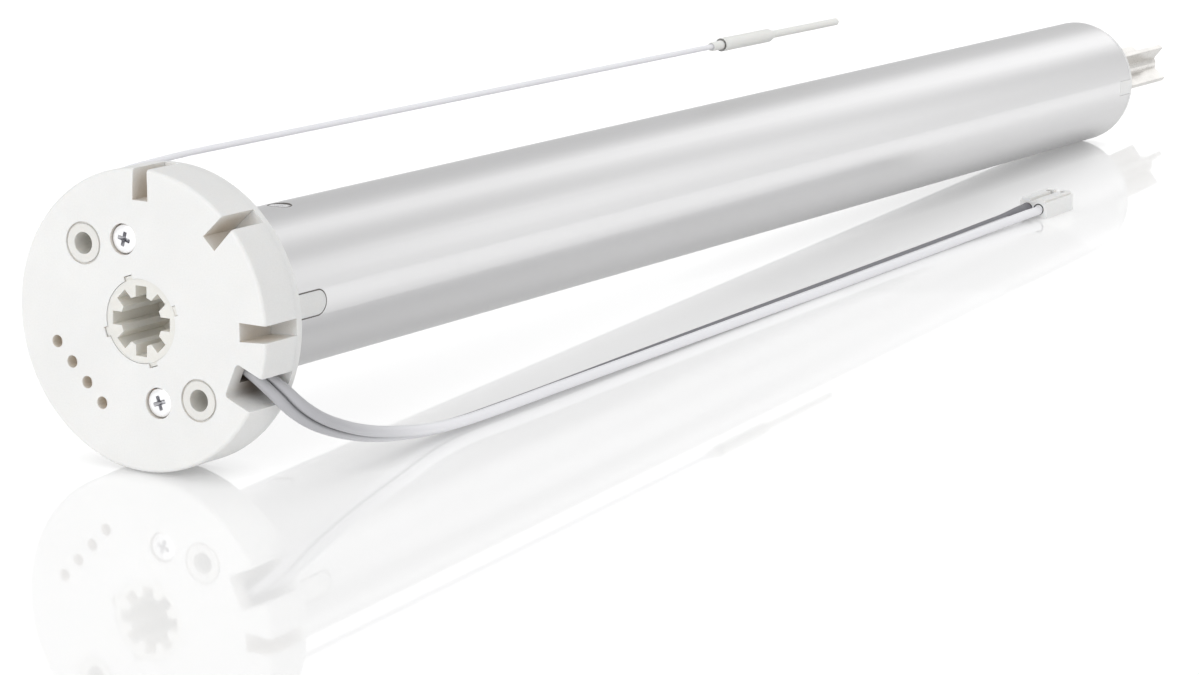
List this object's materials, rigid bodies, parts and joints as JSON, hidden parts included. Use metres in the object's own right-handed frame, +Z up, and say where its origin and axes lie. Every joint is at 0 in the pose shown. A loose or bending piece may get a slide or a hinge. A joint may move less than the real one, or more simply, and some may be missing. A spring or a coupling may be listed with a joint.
{
  "type": "tubular roller shutter motor",
  "caption": "Slim tubular motor for a roller shutter or blind: round head with a star socket, aluminium tube, cross-shaped drive shaft, flat lead with a plug, and a wire aerial.",
  "frame": {"origin": "middle of the head's front face, on the motor's axis", "axes": "+X along the axis from the head to the output shaft, +Z up; the cable notch is on the -Y side"},
  "size_m": [0.402, 0.061, 0.0503],
  "materials": {
    "head_plastic": "fine-grained moulded off-white",
    "socket_plastic": "moulded off-white",
    "bush_plastic": "smooth white nylon",
    "screw_zinc": "bright zinc plate",
    "gland_plastic": "grey nylon",
    "tube_aluminium": "satin anodised",
    "cap_plastic": "smooth white",
    "shaft_zinc": "nickel-plated die casting",
    "ring_steel": "phosphated spring steel",
    "bearing_bronze": "sintered bronze",
    "lead_sheath": "light grey flexible sheath",
    "plug_nylon": "natural white nylon",
    "contact_tin": "tin plated",
    "aerial_sheath": "white sheath",
    "aerial_tip_plastic": "warm white",
    "tray_plastic": "dark grey",
    "board_laminate": "green solder mask",
    "chip_black": "moulded black",
    "capacitor_can": "drawn can",
    "choke_ferrite": "ferrite",
    "bell_plastic": "glass-filled black",
    "can_steel": "zinc-plated steel",
    "magnet_ferrite": "ferrite",
    "core_steel": "stacked laminations",
    "copper": "enamelled copper",
    "brush_graphite": "graphite",
    "spring_bronze": "spring bronze",
    "steel_ground": "ground steel",
    "damper_rubber": "soft rubber",
    "brake_plastic": "glass-filled nylon",
    "brake_lining": "moulded friction lining",
    "sleeve_plastic": "natural acetal",
    "gear_acetal": "natural acetal",
    "carrier_metal": "sintered steel",
    "lead_wires": "red insulated wire"
  },
  "bodies": {
    "motor_body": {"head_cover": "head_plastic", "head_base": "head_plastic", "star_socket": "socket_plastic", "bracket_bushes": "bush_plastic", "cover_screws": "screw_zinc", "cable_gland": "gland_plastic", "motor_tube": "tube_aluminium", "tube_screws": "screw_zinc", "board_tray": "tray_plastic", "control_board": "board_laminate", "radio_module": "board_laminate", "board_chips": "chip_black", "capacitors": "capacitor_can", "choke": "choke_ferrite", "lead_header": "plug_nylon", "motor_terminals": "chip_black", "hall_board": "board_laminate", "end_bell": "bell_plastic", "rear_bearing": "bearing_bronze", "motor_can": "can_steel", "front_bearing": "bearing_bronze", "magnets": "magnet_ferrite", "brushes": "brush_graphite", "brush_springs": "spring_bronze", "damper_rings": "damper_rubber", "brake_housing": "brake_plastic", "brake_pad": "brake_lining", "brake_spring": "steel_ground", "gear_sleeve": "sleeve_plastic", "end_cap": "cap_plastic", "output_bearing": "bearing_bronze", "power_cable": "lead_sheath", "plug_housing": "plug_nylon", "plug_contacts": "contact_tin", "inner_lead": "lead_sheath", "motor_leads": "lead_wires", "aerial_wire": "aerial_sheath", "aerial_ferrule": "aerial_tip_plastic", "aerial_sleeve": "aerial_tip_plastic", "aerial_rod": "aerial_tip_plastic"},
    "output": {"carrier_2": "carrier_metal", "output_shaft": "shaft_zinc", "retaining_ring": "ring_steel"},
    "first_carrier": {"carrier_1": "carrier_metal", "sun_gear_2": "carrier_metal"},
    "rotor": {"motor_shaft": "steel_ground", "armature_core": "core_steel", "windings": "copper", "commutator": "copper", "encoder_magnet": "magnet_ferrite", "brake_disc": "steel_ground", "sun_gear_1": "steel_ground"},
    "planet_1_a_gear": {"planet_1_a": "gear_acetal"},
    "planet_1_b_gear": {"planet_1_b": "gear_acetal"},
    "planet_1_c_gear": {"planet_1_c": "gear_acetal"},
    "planet_2_a_gear": {"planet_2_a": "gear_acetal"},
    "planet_2_b_gear": {"planet_2_b": "gear_acetal"},
    "planet_2_c_gear": {"planet_2_c": "gear_acetal"}
  },
  "joints": [
    {"name": "output_turn", "type": "hinge", "parent": "motor_body", "child": "output", "pos_m": [0.38, 0, 0], "axis": [1, 0, 0], "continuous": true},
    {"name": "first_carrier_turn", "type": "hinge", "parent": "motor_body", "child": "first_carrier", "pos_m": [0.288, 0, 0], "axis": [1, 0, 0], "continuous": true},
    {"name": "rotor_turn", "type": "hinge", "parent": "motor_body", "child": "rotor", "pos_m": [0.21, 0, 0], "axis": [1, 0, 0], "continuous": true},
    {"name": "planet_1_a_turn", "type": "hinge", "parent": "first_carrier", "child": "planet_1_a_gear", "pos_m": [0.2825, 0.00675, 0], "axis": [1, 0, 0], "continuous": true},
    {"name": "planet_1_b_turn", "type": "hinge", "parent": "first_carrier", "child": "planet_1_b_gear", "pos_m": [0.2825, -0.00337, 0.00585], "axis": [1, 0, 0], "continuous": true},
    {"name": "planet_1_c_turn", "type": "hinge", "parent": "first_carrier", "child": "planet_1_c_gear", "pos_m": [0.2825, -0.00337, -0.00585], "axis": [1, 0, 0], "continuous": true},
    {"name": "planet_2_a_turn", "type": "hinge", "parent": "output", "child": "planet_2_a_gear", "pos_m": [0.2965, 0.00675, 0], "axis": [1, 0, 0], "continuous": true},
    {"name": "planet_2_b_turn", "type": "hinge", "parent": "output", "child": "planet_2_b_gear", "pos_m": [0.2965, -0.00337, 0.00585], "axis": [1, 0, 0], "continuous": true},
    {"name": "planet_2_c_turn", "type": "hinge", "parent": "output", "child": "planet_2_c_gear", "pos_m": [0.2965, -0.00337, -0.00585], "axis": [1, 0, 0], "continuous": true}
  ],
  "couplings": [
    {"joint": "first_carrier_turn", "follows": "output_turn", "ratio": 6},
    {"joint": "rotor_turn", "follows": "output_turn", "ratio": 36},
    {"joint": "planet_1_a_turn", "follows": "output_turn", "ratio": -15},
    {"joint": "planet_1_b_turn", "follows": "output_turn", "ratio": -15},
    {"joint": "planet_1_c_turn", "follows": "output_turn", "ratio": -15},
    {"joint": "planet_2_a_turn", "follows": "output_turn", "ratio": -2.5},
    {"joint": "planet_2_b_turn", "follows": "output_turn", "ratio": -2.5},
    {"joint": "planet_2_c_turn", "follows": "output_turn", "ratio": -2.5}
  ]
}
